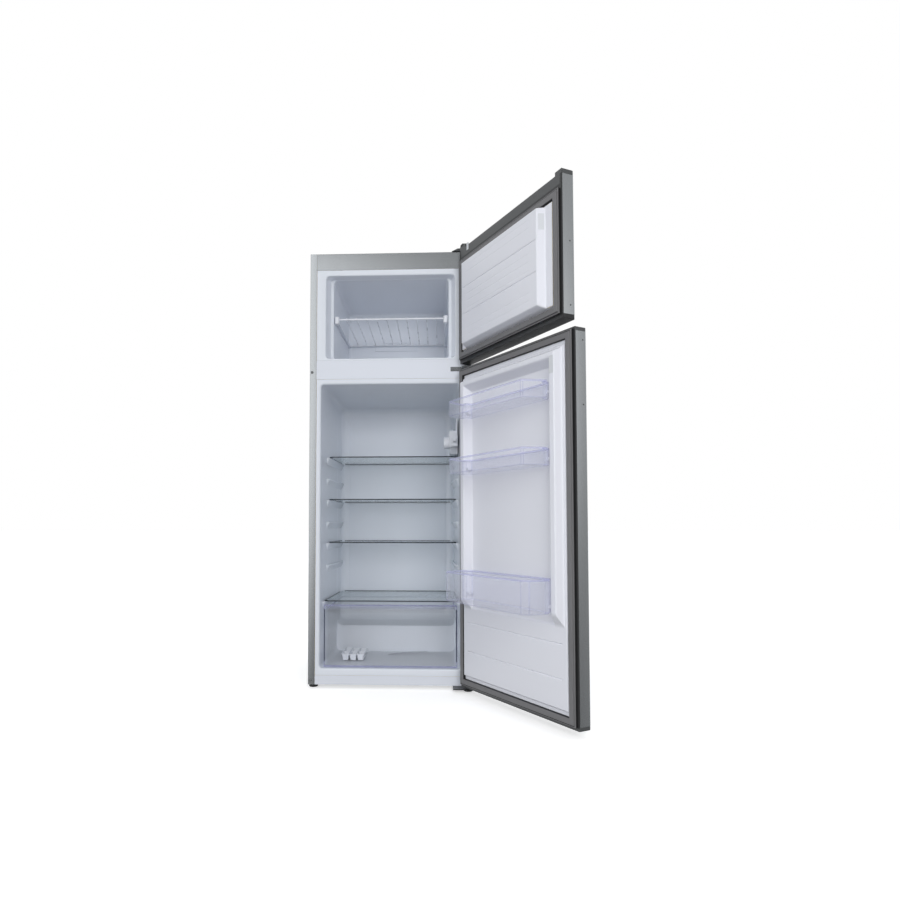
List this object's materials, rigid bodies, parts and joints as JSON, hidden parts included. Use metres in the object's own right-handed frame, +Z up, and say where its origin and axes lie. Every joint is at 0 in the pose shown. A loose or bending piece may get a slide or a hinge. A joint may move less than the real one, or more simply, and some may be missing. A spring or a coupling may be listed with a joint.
{
  "type": "top freezer refrigerator",
  "caption": "Two-door refrigerator with the freezer on top, both doors open, glass shelves, crisper drawer, wire freezer shelf and clear door bins.",
  "frame": {"origin": "on the floor, under the middle of the cabinet's front face", "axes": "+X to the right seen from the front, towards the hinges; +Y to the back; +Z up"},
  "size_m": [0.8118, 1.0324, 1.458],
  "materials": {
    "silver_paint": "silver-grey satin paint",
    "door_paint": "silver-grey satin paint with a fine metallic grain",
    "white_paint": "satin white paint",
    "galvanised": "zinc-coated sheet",
    "foam": "rigid insulating foam",
    "liner_white": "smooth vacuum-formed white sheet",
    "white_plastic": "moulded white plastic",
    "hinge_steel": "zinc-plated steel",
    "dark_plastic": "dark grey moulded plastic",
    "plug_grey": "grey moulded plastic",
    "black_plastic": "black moulded plastic",
    "black_enamel": "black enamel",
    "rubber_mount": "soft black rubber",
    "gasket_grey": "grey flexible magnetic seal",
    "shelf_glass": "clear toughened glass",
    "clear_plastic": "clear moulded plastic",
    "lamp_diffuser": "translucent moulded plastic",
    "white_wire": "white plastic-coated wire"
  },
  "bodies": {
    "cabinet": {"left_side_panel": "silver_paint", "right_side_panel": "silver_paint", "top_panel": "silver_paint", "divider_rail": "white_paint", "bottom_rail": "white_paint", "base_pan": "galvanised", "back_panel": "galvanised", "cabinet_foam": "foam", "freezer_liner": "liner_white", "fridge_liner": "liner_white", "shelf_ledges": "liner_white", "drain_tube": "black_plastic", "top_hinge": "hinge_steel", "top_hinge_cover": "dark_plastic", "middle_hinge": "hinge_steel", "bottom_hinge": "hinge_steel", "hinge_screws": "hinge_steel", "hole_plugs": "plug_grey", "base_plate": "galvanised", "compressor": "black_enamel", "compressor_mounts": "rubber_mount", "relay_cover": "black_plastic", "cord_gland": "black_plastic", "evaporation_tray": "black_plastic", "condenser_tube": "black_enamel", "condenser_wires": "black_enamel", "condenser_brackets": "black_plastic", "thermostat_housing": "white_plastic", "lamp_cover": "lamp_diffuser", "lamp_bulb": "shelf_glass", "freezer_vent": "liner_white", "crisper_cover": "shelf_glass"},
    "freezer_door": {"freezer_door_skin": "door_paint", "freezer_door_top_cap": "dark_plastic", "freezer_door_bottom_cap": "dark_plastic", "freezer_door_liner": "liner_white", "freezer_door_gasket": "gasket_grey", "freezer_door_foam": "foam"},
    "fridge_door": {"fridge_door_skin": "door_paint", "fridge_door_top_cap": "dark_plastic", "fridge_door_bottom_cap": "dark_plastic", "fridge_door_liner": "liner_white", "fridge_door_gasket": "gasket_grey", "fridge_door_foam": "foam"},
    "top_bin": {"door_bin_top": "clear_plastic"},
    "middle_bin": {"door_bin_middle": "clear_plastic"},
    "bottle_bin": {"bottle_bin": "clear_plastic"},
    "crisper": {"crisper_drawer": "clear_plastic", "ice_tray": "white_plastic", "ice_scraper": "clear_plastic"},
    "shelf_1": {"glass_shelf_1": "shelf_glass"},
    "shelf_2": {"glass_shelf_2": "shelf_glass"},
    "shelf_3": {"glass_shelf_3": "shelf_glass"},
    "freezer_shelf": {"wire_shelf": "white_wire", "wire_shelf_clips": "white_plastic"},
    "thermostat_knob": {"thermostat_knob": "white_plastic"},
    "light_switch": {"light_switch": "white_plastic"},
    "left_foot": {"front_foot_left": "black_plastic"},
    "right_foot": {"front_foot_right": "black_plastic"},
    "rollers": {"rear_rollers": "black_plastic"}
  },
  "joints": [
    {"name": "freezer_door_hinge", "type": "hinge", "parent": "cabinet", "child": "freezer_door", "pos_m": [0.256, -0.031, 1.25], "axis": [0, 0, 1], "range_deg": [-117, 18]},
    {"name": "fridge_door_hinge", "type": "hinge", "parent": "cabinet", "child": "fridge_door", "pos_m": [0.256, -0.031, 0.53], "axis": [0, 0, 1], "range_deg": [-121, 14]},
    {"name": "crisper_slide", "type": "slide", "parent": "cabinet", "child": "crisper", "axis": [0, -1, 0], "range_m": [0, 0.25]},
    {"name": "shelf_1_slide", "type": "slide", "parent": "cabinet", "child": "shelf_1", "axis": [0, -1, 0], "range_m": [0, 0.2]},
    {"name": "shelf_2_slide", "type": "slide", "parent": "cabinet", "child": "shelf_2", "axis": [0, -1, 0], "range_m": [0, 0.2]},
    {"name": "shelf_3_slide", "type": "slide", "parent": "cabinet", "child": "shelf_3", "axis": [0, -1, 0], "range_m": [0, 0.2]},
    {"name": "freezer_shelf_slide", "type": "slide", "parent": "cabinet", "child": "freezer_shelf", "axis": [0, -1, 0], "range_m": [0, 0.22]},
    {"name": "top_bin_lift", "type": "slide", "parent": "fridge_door", "child": "top_bin", "axis": [0, 0, 1], "range_m": [0, 0.03]},
    {"name": "middle_bin_lift", "type": "slide", "parent": "fridge_door", "child": "middle_bin", "axis": [0, 0, 1], "range_m": [0, 0.03]},
    {"name": "bottle_bin_lift", "type": "slide", "parent": "fridge_door", "child": "bottle_bin", "axis": [0, 0, 1], "range_m": [0, 0.03]},
    {"name": "thermostat_turn", "type": "hinge", "parent": "cabinet", "child": "thermostat_knob", "pos_m": [0.19, 0.106, 0.818], "axis": [1, 0, 0], "range_deg": [-140, 140]},
    {"name": "light_switch_press", "type": "slide", "parent": "cabinet", "child": "light_switch", "axis": [0, 1, 0], "range_m": [0, 0.004], "stiffness_N_per_m": 200, "springref_m": -0.002},
    {"name": "left_foot_turn", "type": "hinge", "parent": "cabinet", "child": "left_foot", "pos_m": [-0.255, 0.028, 0.01], "axis": [0, 0, 1], "continuous": true},
    {"name": "right_foot_turn", "type": "hinge", "parent": "cabinet", "child": "right_foot", "pos_m": [0.255, -0.014, 0.01], "axis": [0, 0, 1], "continuous": true},
    {"name": "roller_turn", "type": "hinge", "parent": "cabinet", "child": "rollers", "pos_m": [0, 0.474, 0.014], "axis": [1, 0, 0], "continuous": true}
  ]
}
